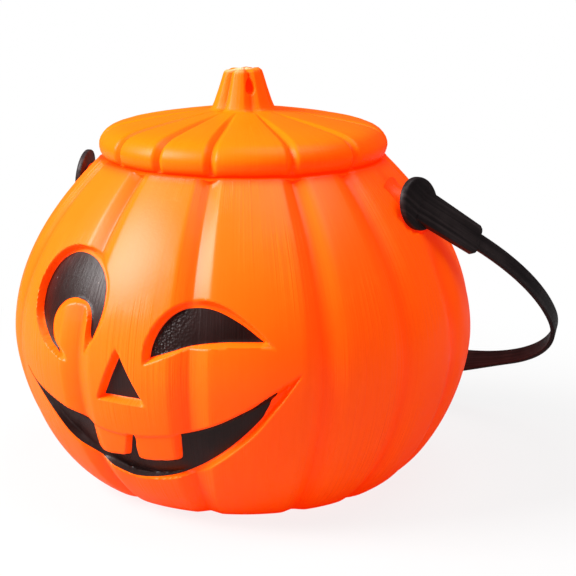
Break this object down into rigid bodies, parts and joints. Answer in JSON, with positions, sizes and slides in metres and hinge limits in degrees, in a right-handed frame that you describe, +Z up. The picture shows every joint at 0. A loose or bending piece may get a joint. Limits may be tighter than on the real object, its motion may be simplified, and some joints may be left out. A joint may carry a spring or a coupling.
{
  "type": "pumpkin candy pail",
  "caption": "Round lobed pumpkin pail with a winking recessed face, a lift-off lid with a stem and a swing handle, for collecting sweets.",
  "frame": {"origin": "middle of the flat base, on the pail's axis", "axes": "+Z up along the pail's axis, the face looks along -Y, the handle's hinge line runs along X"},
  "size_m": [0.2286, 0.2232, 0.1704],
  "materials": {
    "pail_plastic": "blow-moulded orange plastic, soft gloss",
    "lid_plastic": "blow-moulded orange plastic, soft gloss",
    "face_paint": "sprayed black paint",
    "handle_plastic": "moulded black plastic, faintly streaked"
  },
  "bodies": {
    "pail": {"pail_body": "pail_plastic", "open_eye_paint": "face_paint", "wink_eye_paint": "face_paint", "nose_paint": "face_paint", "mouth_paint": "face_paint"},
    "lid": {"lid": "lid_plastic"},
    "handle": {"handle": "handle_plastic"}
  },
  "joints": [
    {"name": "handle_swing", "type": "hinge", "parent": "pail", "child": "handle", "pos_m": [0, 0, 0.121], "axis": [1, 0, 0], "range_deg": [0, 260]},
    {"name": "lid_lift", "type": "slide", "parent": "pail", "child": "lid", "axis": [0, 0, 1], "range_m": [0, 0.06]}
  ]
}
